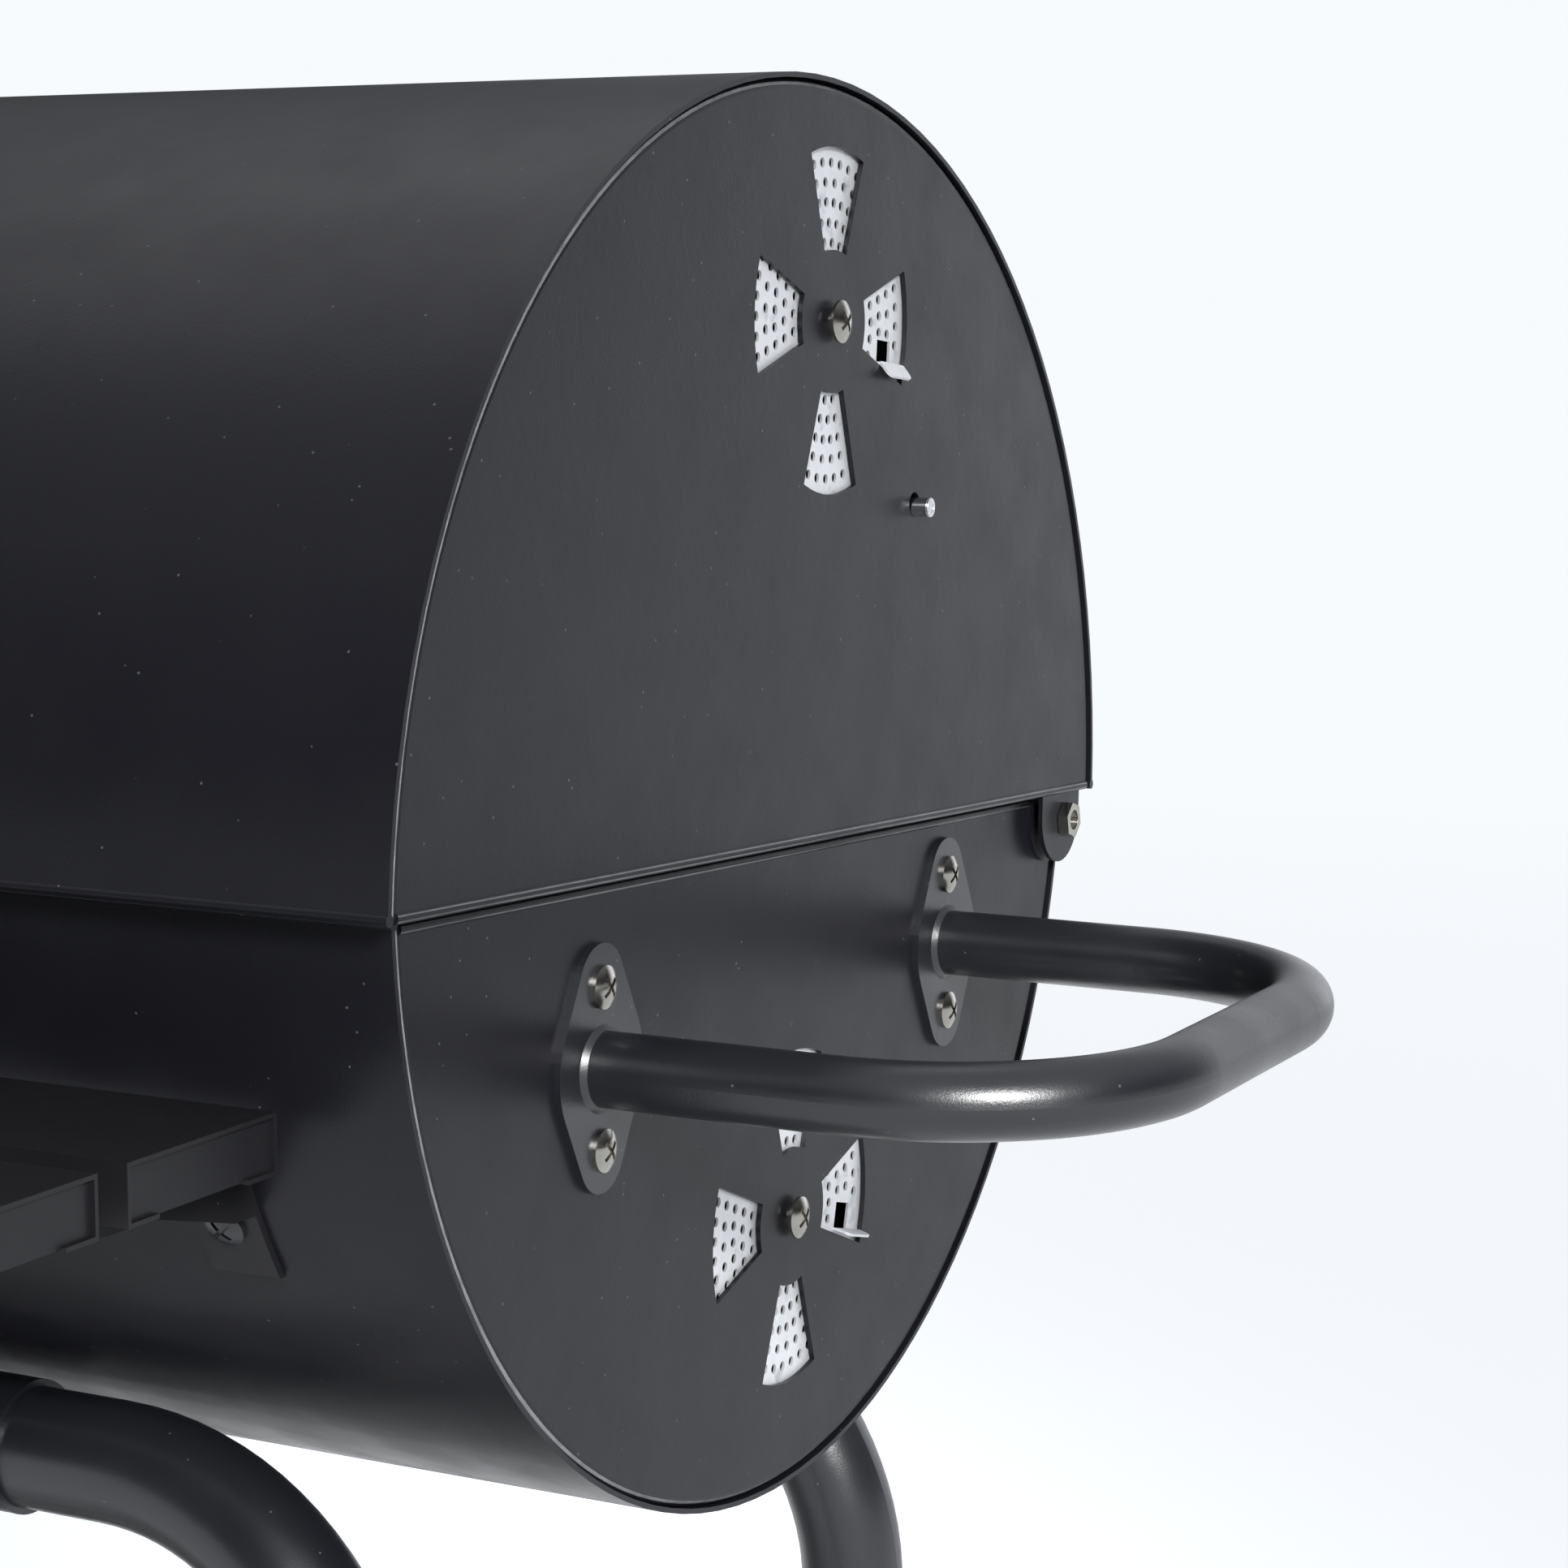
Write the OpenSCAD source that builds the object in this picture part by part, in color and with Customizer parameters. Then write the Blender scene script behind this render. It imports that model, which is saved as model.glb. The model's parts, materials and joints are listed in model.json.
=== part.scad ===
/* [Barrel] */
// Length between the outer faces of the two lid caps
barrel_length = 700; // [600:10:1000]
// Outer radius of the lid
lid_radius = 225; // [224:0.5:226]
// Outer radius of the bowl
bowl_radius = 213.5; // [213:0.5:214]
// Distance that the bowl's caps sit inside the lid's caps
bowl_cap_inset = 6; // [5.5:0.5:6.5]
// Height of the seam between lid and bowl above the floor
seam_height = 850; // [830:5:900]
// Thickness of the barrel's sheet steel
sheet = 1.5; // [1.2:0.1:1.6]
// Radius of the hems along the edges of lid and bowl
hem_radius = 1.6; // [1.2:0.1:1.8]

/* [Hinge] */
// Radius of the hinge bolts
hinge_bolt_radius = 3; // [2.5:0.5:3]
// Width of the hinge ears
ear_width = 32.6; // [30:0.2:34]

/* [Vents] */
// Inner radius of the vent windows
window_inner = 21; // [18:1:22]
// Outer radius of the vent windows
window_outer = 51; // [48:1:51]
// Angle that each vent window spans
window_angle = 40; // [30:1:40]
// Outer radius of the vent discs
disc_radius = 54; // [53:0.5:56]
// Radius of the small holes in the vent discs
disc_hole_radius = 1.5; // [1:0.1:1.6]

/* [Handles] */
// Outer radius of the handle tubes
handle_tube = 10.5; // [9:0.5:11]
// Distance between the two legs of each handle
handle_span = 225.6; // [220:0.4:240]
// Distance from the bowl's cap to the middle of the side handle's bar
side_reach = 142.3; // [120:1:160]
// Distance from the lid to the middle of the lid handle's bar
lid_reach = 66; // [60:1:80]

/* [Shelf] */
// Number of slats in the front shelf
shelf_slats = 3; // [3:1:3]
// Depth of each slat
slat_depth = 60; // [50:1:60]
// Gap between slats
slat_gap = 11; // [8:1:12]
// Height of the folded edge of a slat
slat_height = 16; // [14:1:18]
// Downward slope of the shelf towards its front edge, in degrees
shelf_slope = 2.5; // [0:0.5:3]

/* [Legs] */
// Outer radius of the leg tubes
leg_tube = 17.5; // [16:0.5:18]
// Radius of the bend at the top of each leg
leg_bend = 96; // [80:1:100]
// Outward lean of the leg frames, in degrees
leg_lean = 8.2; // [6:0.2:10]
// Radius of the wheels
wheel_radius = 100; // [90:5:110]

/* [Hidden] */
$fn = 72;

// Barrel
half = barrel_length / 2;
bowl_half = half - bowl_cap_inset;
bowl_y = -1.7;
bowl_z = 17;
bowl_rim_z = -1;
bowl_inner = bowl_radius - sheet;
lid_inner = lid_radius - sheet;
shell_overhang = 0.8;
hem_overhang = 0.3;
cap_bend = 3;
cap_flange = 15;
fit_gap = 0.05;
rest_gap = 0.4;
cut = 500;

// Hinge
hinge_y = 201.5;
hinge_z = -9;
ear_y = 198.4;
ear_z = -7.2;
ear_radius = ear_width / 2;
hex_corner = 6.3;
hinge_nut_corner = 5.1;
hex_height = 3.7;
spacer_radius = 6;

// Vents
lid_vent = [11.2, 154.5];
bowl_vent = [9.1, -114.4];
disc_thickness = 0.8;
disc_gap = 0.4;
vent_screw = 2.5;
vent_head = 6.3;
vent_standoff = 2;
lid_disc_turn = -3;
bowl_disc_turn = 2.7;
tab_start = 33;
tab_length = 16.2;
tab_corner = 2.4;
slot_start = 34;
slot_width = 9;
// Bent tabs: tilt and height of the fold, droop and reach beyond it, height of the slot above it
lid_tab = [0, -8.9, 50, 5.6, 6.8];
bowl_tab = [-15, -2.7, 16, 4.6, 8];
// Rings of small holes: radius, count, angle between holes
hole_rings = [[46.4, 6, 7.2], [40.6, 5, 8.65], [34.8, 5, 8.2], [28.9, 4, 10.1], [23.1, 3, 12.9]];

// Warming rack
rack_y = 71;
rack_z = 99.7;
rod_radius = 3;
rod_hole = 3.85;
rod_end = 5.7;
rack_half_depth = 68;
rack_drop = 38;
rack_half_length = 325;
rack_plate = 2.5;

// Handles
side_y = 0.8;
side_z = -46.8;
side_tilt = 2.23;
side_bend = 71;
lid_bend = 45;
lid_handle_angle = 22;
tube_wall = 1.5;
flange_thickness = 2;
flange_half_width = 22.5;
flange_end_radius = 12;
screw_offset = 22.5;
weld_radius = 1.6;
pan_radius = 6;
pan_height = 3;
pan_shank = 3;

// Thermometer
thermometer_angle = 54;
case_radius = 36;
case_depth = 15;
case_back = 1.5;
dial_radius = 32;
neck_radius = 12;
neck_height = 4;
probe_radius = 3.5;
probe_depth = 60;
spindle_radius = 1.2;
needle_height = 4;

// Shelf
shelf_y = -215;
shelf_z = -50.2;
slat_half = half - 38;
skin = 1.2;
slat_lip = 12;
flap_recess = 1.5;
bracket_x = 289;
bracket_sheet = 2;
bracket_flange = 20;
bracket_bolt_angles = [22, 29];
slat_screw = 2.4;
slat_pitch = slat_depth + slat_gap;
shelf_length = shelf_slats * slat_pitch - slat_gap;

// Leg frames
bar_y = 136.9;
bar_z = -174.7;
bar_height = seam_height + bar_z;
sleeve_half = 175;
sleeve_radius = 19.5;
sleeve_insert = 30;
bend_start = half - 145.4;
leg_x = bend_start + leg_bend;
leg_wall = 1.8;
saddle_x = 110;
saddle_angle = atan2(bowl_z - bar_z, bar_y);
saddle_reach = norm([bar_y, bowl_z - bar_z]);
saddle_bolt = 4;
brace_height = 290;
brace_radius = 12.5;
foot_radius = 20;
foot_height = 32;
foot_floor = 6;
plug_height = wheel_radius - 25;

// Wheels
axle_radius = 6;
wheel_track = 267;
hub_half_width = 20;
hub_radius = 17;
rim_radius = 86;
rim_half_width = 16;
web_half = 4;
axle_half = wheel_track + hub_half_width + 1;
axle_cap_height = 7;
axle_cap_radius = 11;

// Grates
grate_top = -12;
grate_thickness = 6;
grate_half_depth = 200;
grate_length = 322;
charcoal_top = -120;
charcoal_half_depth = 150;
charcoal_length = 640;
ledge_width = 36;
ledge_depth = 40;
ledge_spacing = 250;
ledge_thickness = 2.5;

// The origin is on the floor under the middle of the grill's own box
reach_left = -leg_x - wheel_radius;
reach_right = bowl_half + side_reach + handle_tube;
reach_front = shelf_y - shelf_length * cos(shelf_slope);
reach_rear = bowl_y + axle_half + axle_cap_height;
place_x = -(reach_left + reach_right) / 2;
place_y = -(reach_front + reach_rear) / 2;

// ---- places ----

// Barrel frame: x along the barrel, y to the rear, z up from the seam
module place() translate([place_x, place_y, seam_height]) children();

module at_yz(yz) translate([0, yz[0], yz[1]]) children();

module mirrored(side) mirror([side == 1 ? 0 : 1, 0, 0]) children();

// Radial frame about the bowl's axis: z points out and down, to the front (-1) or the rear (1)
module bowl_radial(side, angle) translate([0, bowl_y, bowl_z]) rotate([-side * (90 + angle), 0, 0])
    children();

// Radial frame about the lid's axis: z points out to the front, at an angle above level
module lid_radial(angle) rotate([90 - angle, 0, 0]) children();

// Frame of the side handle: x to the rear, y up, z out of the cap
module side_handle_frame() translate([bowl_half, side_y, side_z]) rotate([side_tilt, 0, 0])
    rotate([90, 0, 90]) children();

module side_legs() side_handle_frame() for (side = [1, -1]) translate([side * handle_span / 2, 0, 0])
    children();

module lid_legs() lid_radial(lid_handle_angle) for (side = [1, -1])
    translate([side * handle_span / 2, 0, 0]) children();

module side_screw_places() side_legs() for (row = [1, -1]) translate([0, row * screw_offset, 0]) children();

module lid_screw_places() lid_legs() for (row = [1, -1]) translate([row * screw_offset, 0, 0]) children();

module saddle_places() for (side = [1, -1], x = [saddle_x, -saddle_x])
    bowl_radial(side, saddle_angle) translate([x, 0, 0]) children();

module bracket_bolt_places() for (side = [1, -1], angle = bracket_bolt_angles)
    bowl_radial(-1, angle) translate([side * (bracket_x - bracket_flange / 2), 0, 0]) children();

// Frame of a leg frame at the middle of its bar, leaning outward at the front (-1) or the rear (1)
module leg_frame(side) translate([0, bowl_y + side * bar_y, bar_z]) rotate([side * leg_lean, 0, 0])
    children();

module shelf_frame() translate([0, shelf_y, shelf_z]) rotate([shelf_slope, 0, 0]) children();

module slat_screw_places() for (side = [1, -1], slat = [0 : shelf_slats - 1], edge = [0.5, -0.5])
    shelf_frame()
        translate([side * (bracket_x - bracket_flange / 2),
            -slat * slat_pitch - slat_depth / 2 + edge * (slat_depth - slat_lip - skin), -slat_height])
            children();

// How far a leg's middle line stands from the bowl's middle plane at a height above the floor
function leg_spread(height) = bar_y + (bar_height - height) * tan(leg_lean);

// ---- shapes ----

// Stands a drawing of (y, z) up in a plane across the barrel, growing towards +x
module across(x, thickness) translate([x, 0, 0]) rotate([90, 0, 90]) linear_extrude(thickness) children();

module rod_x(x, length, radius) translate([x, 0, 0]) rotate([90, 0, 90]) cylinder(r = radius, h = length);

module rod_y(length, radius) rotate([90, 0, 0]) cylinder(r = radius, h = length, center = true);

module drill(radius, from, to) translate([0, 0, from]) cylinder(r = radius, h = to - from);

module tube_z(length, radius, wall) difference() {
    cylinder(r = radius, h = length);
    drill(radius - wall, -1, length + 1);
}

module elbow(bend, radius, wall) rotate([90, 0, 0]) rotate_extrude(angle = 90, $fn = 96)
    translate([bend, 0]) difference() {
        circle(r = radius);
        circle(r = radius - wall);
    }

function arc_points(centre, radius, from, to, steps = 5) =
    [for (i = [0 : steps]) let (turn = from + (to - from) * i / steps)
        centre + radius * [cos(turn), sin(turn)]];

// Round sheet-metal cap with a bent rim, outer face at x = 0
module pan(radius, turn) rotate([90, 0, 90]) rotate_extrude(angle = turn, $fn = 180) polygon(concat(
    [[0, -sheet], [0, 0]],
    arc_points([radius - cap_bend, -cap_bend], cap_bend, 90, 0),
    [[radius, -cap_flange], [radius - sheet, -cap_flange]],
    arc_points([radius - cap_bend, -cap_bend], cap_bend - sheet, 0, 90)));

module diamond() {
    tangent = asin((flange_half_width - flange_end_radius) / screw_offset);
    polygon(concat(
        arc_points([0, 0], flange_half_width, -tangent, tangent, 8),
        arc_points([0, screw_offset], flange_end_radius, tangent, 180 - tangent, 14),
        arc_points([0, 0], flange_half_width, 180 - tangent, 180 + tangent, 8),
        arc_points([0, -screw_offset], flange_end_radius, 180 + tangent, 360 - tangent, 14)));
}

// Domed screw head with a cross recess on z = 0, shank pointing down
module pan_screw(head, height, shank, length) {
    dome = 1.9 * head;
    recess = [head * 1.15, head * 0.2, height];
    difference() {
        intersection() {
            cylinder(r = head, h = height);
            translate([0, 0, height - dome]) sphere(r = dome);
        }
        for (turn = [40, 130]) rotate([0, 0, turn])
            translate([-recess[0] / 2, -recess[1] / 2, height * 0.5]) cube(recess);
    }
    drill(shank, -length, 0.01);
}

module hex_bolt(head, height, shank, length) {
    cylinder(r = head, h = height, $fn = 6);
    drill(shank, -length, 0.01);
}

module nut(corner, height, hole) difference() {
    cylinder(r = corner, h = height, $fn = 6);
    drill(hole, -1, height + 1);
}

// Flat grille with bars across its short side, from z = 0 up
module grille(length, depth, thickness, bar, pitch, border) {
    bays = floor((length - 2 * border + bar) / pitch);
    start = (length - bays * pitch + bar) / 2;
    slot = [pitch - bar, depth / 2 - border * 1.5];
    linear_extrude(thickness) difference() {
        square([length, depth], center = true);
        for (bay = [0 : bays - 1], row = [0.5, -1])
            translate([start + bay * pitch - length / 2, row > 0 ? border / 2 : -border / 2 - slot[1]])
                square(slot);
    }
}

// Folded channel with closed ends, back edge at y = 0, top at z = 0
module slat(half_length, depth, height) {
    across(-half_length, 2 * half_length) polygon([[0, 0], [0, -height], [-slat_lip, -height],
        [-slat_lip, skin - height], [-skin, skin - height], [-skin, -skin], [skin - depth, -skin],
        [skin - depth, skin - height], [slat_lip - depth, skin - height], [slat_lip - depth, -height],
        [-depth, -height], [-depth, 0]]);
    for (x = [flap_recess - half_length, half_length - flap_recess - skin])
        translate([x, skin / 2 - depth, skin / 2 - height]) cube([skin, depth - skin, height - skin]);
}

module bowl_cylinder(radius) translate([0, bowl_y, bowl_z]) rod_x(-cut, 2 * cut, radius, $fn = 256);

module lid_cylinder(radius) rod_x(-cut, 2 * cut, radius, $fn = 256);

module handle_loop(start, reach, bend) {
    span = handle_span / 2;
    for (side = [1, -1]) mirrored(side) {
        translate([span, 0, start]) tube_z(reach - bend - start, handle_tube, tube_wall);
        translate([span - bend, 0, reach - bend]) elbow(bend, handle_tube, tube_wall);
        translate([0, 0, reach]) rotate([0, 90, 0]) tube_z(span - bend, handle_tube, tube_wall);
    }
}

// Bead where a handle tube is welded to its flange, before the hole for the tube is drilled
module weld_bead()
    cylinder(r1 = handle_tube + weld_radius + 1, r2 = handle_tube + weld_radius / 4, h = weld_radius + 1);

module vent_windows(centre, x) translate([x + sheet, centre[0], centre[1]]) rotate([0, -90, 0])
    for (turn = [0 : 90 : 270]) rotate([0, 0, turn - window_angle / 2])
        rotate_extrude(angle = window_angle) translate([window_inner, 0])
            square([window_outer - window_inner, 3 * sheet]);

// Perforated disc, with no holes where its tab is bent out
module disc_drawing() difference() {
    circle(r = disc_radius);
    circle(r = vent_screw + fit_gap);
    for (group = [0 : 3], ring = hole_rings, i = [0 : ring[1] - 1]) {
        angle = (i - (ring[1] - 1) / 2) * ring[2];
        by_tab = group == 0 && ring[0] > slot_start - 4 && angle < -4;
        if (!by_tab) rotate(group * 90 + angle) translate([ring[0], 0])
            circle(r = disc_hole_radius, $fn = 24);
    }
}

// Vent disc behind the cap whose outer face is at x; the tab comes out through the rear window
module vent_disc(centre, x, turn, tab) at_yz(centre) rotate([turn, 0, 0]) {
    face = x - sheet - disc_gap;
    fold_x = x + 0.3;
    difference() {
        across(face - disc_thickness, disc_thickness) disc_drawing();
        rotate([tab[0], 0, 0]) translate([face - 2, slot_start, tab[1]]) cube([4, slot_width, tab[4]]);
    }
    rotate([tab[0], 0, 0]) {
        translate([face - disc_thickness, tab_start, tab[1] - disc_thickness])
            cube([fold_x - face + disc_thickness, tab_length, disc_thickness]);
        translate([fold_x, tab_start, tab[1]]) rotate([0, tab[2], 0]) translate([-0.2, 0, -disc_thickness])
            linear_extrude(disc_thickness) polygon(concat([[0, tab_length], [0, 0]],
                arc_points([tab[3] - tab_corner, tab_corner], tab_corner, -90, 0),
                arc_points([tab[3] - tab_corner, tab_length - tab_corner], tab_corner, 0, 90)));
    }
}

module vent_screws(centre, x) for (side = [1, -1]) mirrored(side)
    translate([x, centre[0], centre[1]]) rotate([0, 90, 0]) {
        inside = sheet + 2 * disc_gap + disc_thickness;
        translate([0, 0, vent_standoff]) pan_screw(vent_head, 2.6, vent_screw, vent_standoff + inside + 5);
        tube_z(vent_standoff, vent_screw + 1.5, 1.5);
        translate([0, 0, -inside - 4]) nut(4.6, 4, vent_screw);
    }

// ---- bowl ----

module bowl_rims() {
    edge = asin((bowl_z - bowl_rim_z) / bowl_radius);
    middle = bowl_radius - sheet / 2;
    hem_half = bowl_half + shell_overhang + hem_overhang;
    for (turn = [-edge, 180 + edge]) translate([0, bowl_y + middle * cos(turn), bowl_z + middle * sin(turn)])
        rod_x(-hem_half, 2 * hem_half, hem_radius);
}

module bowl_shell() color("dimgray") place() difference() {
    edge = asin((bowl_z - bowl_rim_z) / bowl_radius);
    union() {
        translate([-bowl_half - shell_overhang, bowl_y, bowl_z]) rotate([90, 0, 90])
            rotate([0, 0, 180 + edge]) rotate_extrude(angle = 180 - 2 * edge, $fn = 180)
                translate([bowl_inner, 0]) square([sheet, 2 * (bowl_half + shell_overhang)]);
        bowl_rims();
    }
    saddle_places() drill(saddle_bolt, bowl_inner - 5, bowl_radius + 5);
    bracket_bolt_places() drill(pan_shank, bowl_inner - 5, bowl_radius + 5);
    for (side = [1, -1]) mirrored(side)
        translate([bowl_half - fit_gap, ear_y - ear_radius - 1, ear_z - ear_radius - 1])
            cube([5, ear_width + 2, ear_width]);
}

// Room in a cap's corners for the hems of its shell, which lie at a distance from the middle plane
module hem_room(x, middle_y, distance, z) for (side = [1, -1])
    translate([x - cut + 5, middle_y + side * (distance - hem_radius - 0.1 + cut / 2) - cut / 2,
        z - hem_radius - 0.1])
        cube([cut, cut, 2 * hem_radius + 0.2]);

module bowl_cap(has_handle) {
    edge = asin((bowl_z - bowl_rim_z) / bowl_radius);
    rim = bowl_inner - fit_gap;
    hem_half = sqrt(pow(rim, 2) - pow(bowl_z - bowl_rim_z, 2)) - cap_bend;
    difference() {
        translate([bowl_half, bowl_y, bowl_z]) pan(rim, 360);
        translate([bowl_half - cut / 2, -cut / 2, bowl_rim_z]) cube(cut);
        vent_windows(bowl_vent, bowl_half);
        at_yz(bowl_vent) rod_x(bowl_half - 9, 18, vent_screw);
        at_yz([hinge_y, hinge_z]) rod_x(bowl_half - 9, 18, hinge_bolt_radius);
        hem_room(bowl_half, bowl_y, (bowl_radius - sheet / 2) * cos(edge), bowl_rim_z);
        if (has_handle) side_screw_places() drill(pan_shank, -9, 9);
    }
    translate([bowl_half - sheet / 2, bowl_y, bowl_rim_z - hem_radius]) rod_y(2 * hem_half, hem_radius);
}

module bowl_cap_right() color("dimgray") place() bowl_cap(true);

module bowl_cap_left() color("dimgray") place() mirrored(-1) bowl_cap(false);

module ear_drawing(top) {
    translate([ear_y, ear_z]) circle(r = ear_radius);
    translate([ear_y - ear_radius, ear_z]) square([ear_width, top - ear_z]);
}

module hinge_plate(side) color("dimgray") place() mirrored(side) difference() {
    across(bowl_half, sheet) ear_drawing(bowl_rim_z - 2 * hem_radius);
    at_yz([hinge_y, hinge_z]) rod_x(bowl_half - 9, 18, hinge_bolt_radius);
    translate([bowl_half - sheet / 2, bowl_y, bowl_rim_z - hem_radius]) rod_y(cut, hem_radius);
}

module hinge_plate_right() hinge_plate(1);

module hinge_plate_left() hinge_plate(-1);

// Bolts, with a spacer between plate and ear and a nut inside the bowl
module hinge_bolts() color("silver") place() for (side = [1, -1]) mirrored(side) {
    translate([half + rest_gap / 2, hinge_y, hinge_z]) rotate([0, 90, 0]) rotate([0, 0, 15]) difference() {
        hex_bolt(hex_corner, hex_height, hinge_bolt_radius, bowl_cap_inset + sheet + 6);
        drill(hex_corner * 0.55, hex_height - 1.6, hex_height + 1);
    }
    translate([bowl_half + sheet, hinge_y, hinge_z]) rotate([0, 90, 0])
        tube_z(bowl_cap_inset - 2 * sheet - rest_gap, spacer_radius, spacer_radius - hinge_bolt_radius);
    translate([bowl_half - sheet, hinge_y, hinge_z]) rotate([0, -90, 0])
        nut(hinge_nut_corner, 5, hinge_bolt_radius);
}

module side_handle_tube() color("dimgray") place() side_handle_frame()
    handle_loop(0, side_reach, side_bend);

module side_handle_flanges() color("dimgray") place() side_legs() {
    difference() {
        union() {
            linear_extrude(flange_thickness) diamond();
            translate([0, 0, flange_thickness - 1]) weld_bead();
        }
        drill(handle_tube, -1, 9);
        for (row = [1, -1]) translate([0, row * screw_offset, 0]) drill(pan_shank, -1, 4);
    }
}

module side_handle_screws() color("silver") place() side_screw_places() {
    translate([0, 0, flange_thickness]) pan_screw(pan_radius, pan_height, pan_shank, 10);
    translate([0, 0, -sheet - 4]) nut(5.5, 4, pan_shank);
}

module vent_screws_bowl() color("silver") place() vent_screws(bowl_vent, bowl_half);

// ---- shelf ----

module shelf_slat(index) color("dimgray") place() difference() {
    shelf_frame() translate([0, -index * slat_pitch, 0]) slat(slat_half, slat_depth, slat_height);
    slat_screw_places() drill(slat_screw, -1, skin + 1);
}

module shelf_slat_rear() shelf_slat(0);

module shelf_slat_middle() shelf_slat(1);

module shelf_slat_front() shelf_slat(2);

module shelf_bracket(side) color("dimgray") place() difference() {
    mirrored(side) {
        shelf_frame() {
            across(bracket_x - bracket_sheet / 2, bracket_sheet) polygon([[-shelf_length, -slat_height],
                [-shelf_length, -slat_height - 5], [-20, -slat_height - 9.5], [12, -slat_height - 18],
                [35, -slat_height - 18], [35, -slat_height - 7], [16, -slat_height]]);
            translate([bracket_x - bracket_flange, -shelf_length, -slat_height - bracket_sheet])
                cube([bracket_flange, shelf_length - 2, bracket_sheet]);
        }
        intersection() {
            bowl_cylinder(bowl_radius + bracket_sheet);
            translate([bracket_x - bracket_flange, -cut, -102]) cube([bracket_flange + 1, cut, 46]);
        }
    }
    bowl_cylinder(bowl_radius);
    bracket_bolt_places() drill(pan_shank, bowl_radius - 5, bowl_radius + 12);
    slat_screw_places() drill(slat_screw, -bracket_sheet - 1, 1);
}

module shelf_bracket_right() shelf_bracket(1);

module shelf_bracket_left() shelf_bracket(-1);

module shelf_screws() color("silver") place() {
    bracket_bolt_places() {
        translate([0, 0, bowl_radius + bracket_sheet]) pan_screw(pan_radius, pan_height, pan_shank, 8);
        translate([0, 0, bowl_inner - 4.2]) nut(5.5, 4, pan_shank);
    }
    slat_screw_places() {
        translate([0, 0, -bracket_sheet]) mirror([0, 0, 1]) pan_screw(4.5, 2.4, slat_screw, 6);
        translate([0, 0, skin]) nut(4.2, 2.5, slat_screw);
    }
}

// ---- legs ----

module leg_solid(side, radius) leg_frame(side) translate([leg_x, 0, 0]) drill(radius, -700, -leg_bend);

module leg(side, end_height) {
    length = (bar_height - end_height) / cos(leg_lean);
    leg_frame(side) {
        translate([sleeve_half - sleeve_insert, 0, 0]) rotate([0, 90, 0])
            tube_z(bend_start - sleeve_half + sleeve_insert, leg_tube, leg_wall);
        translate([bend_start, 0, -leg_bend]) elbow(leg_bend, leg_tube, leg_wall);
        translate([leg_x, 0, -length]) tube_z(length - leg_bend, leg_tube, leg_wall);
    }
}

module leg_front_right() color("dimgray") place() leg(-1, foot_floor);

module leg_rear_right() color("dimgray") place() leg(1, foot_floor);

module wheel_leg(side) color("dimgray") place() difference() {
    mirrored(-1) leg(side, plug_height);
    translate([-leg_x, bowl_y, wheel_radius - seam_height]) rod_y(2 * axle_half, axle_radius);
}

module leg_front_left() wheel_leg(-1);

module leg_rear_left() wheel_leg(1);

module sleeve(side) color("dimgray") place() difference() {
    leg_frame(side) translate([-sleeve_half, 0, 0]) rotate([0, 90, 0])
        tube_z(2 * sleeve_half, sleeve_radius, sleeve_radius - leg_tube - fit_gap);
    saddle_places() drill(saddle_bolt, bowl_radius, saddle_reach + 40);
}

module sleeve_front() sleeve(-1);

module sleeve_rear() sleeve(1);

module saddle_pads() color("black") place() saddle_places() difference() {
    translate([-15, -14, bowl_radius - 3]) cube([30, 28, 15]);
    rotate([0, 90, 0]) cylinder(r = bowl_radius, h = 60, center = true, $fn = 256);
    translate([0, 0, saddle_reach]) rotate([0, 90, 0]) cylinder(r = sleeve_radius, h = 60, center = true);
    drill(saddle_bolt, bowl_radius - 5, saddle_reach);
}

module saddle_bolts() color("silver") place() saddle_places() {
    translate([0, 0, saddle_reach + sleeve_radius])
        hex_bolt(7.5, 5.3, saddle_bolt, saddle_reach + sleeve_radius - bowl_inner + 9);
    translate([0, 0, bowl_inner - 6.7]) nut(7.5, 6.5, saddle_bolt);
}

module leg_brace(side) color("dimgray") place() mirrored(side) difference() {
    translate([leg_x, bowl_y + leg_spread(brace_height), brace_height - seam_height])
        rotate([90, 0, 0]) tube_z(2 * leg_spread(brace_height), brace_radius, tube_wall);
    leg_solid(1, leg_tube);
    leg_solid(-1, leg_tube);
}

module leg_brace_right() leg_brace(1);

module leg_brace_left() leg_brace(-1);

module bottom_rack() color("dimgray") place() {
    height = 12;
    top = brace_height + brace_radius + height - seam_height;
    spacing = 86;
    for (i = [-1.5 : 1 : 1.5]) translate([0, bowl_y + i * spacing + slat_depth / 2, top])
        slat(leg_x + 18, slat_depth, height);
}

module foot_caps() color("black") place() for (side = [1, -1]) {
    length = (bar_height - foot_floor) / cos(leg_lean);
    difference() {
        leg_frame(side) translate([leg_x, 0, -length]) difference() {
            drill(foot_radius, -20, foot_height);
            drill(leg_tube, 0, foot_height + 1);
        }
        translate([0, -cut, -seam_height - cut]) cube([cut, 2 * cut, cut]);
    }
}

module leg_plugs() color("black") place() for (side = [1, -1]) {
    length = (bar_height - plug_height) / cos(leg_lean);
    leg_frame(side) translate([-leg_x, 0, -length]) {
        drill(leg_tube, -3, 0);
        drill(leg_tube - leg_wall, 0, 8);
    }
}

// ---- wheels ----

module axle() color("silver") place() translate([-leg_x, bowl_y, wheel_radius - seam_height])
    rod_y(2 * (axle_half + 4), axle_radius);

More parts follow.
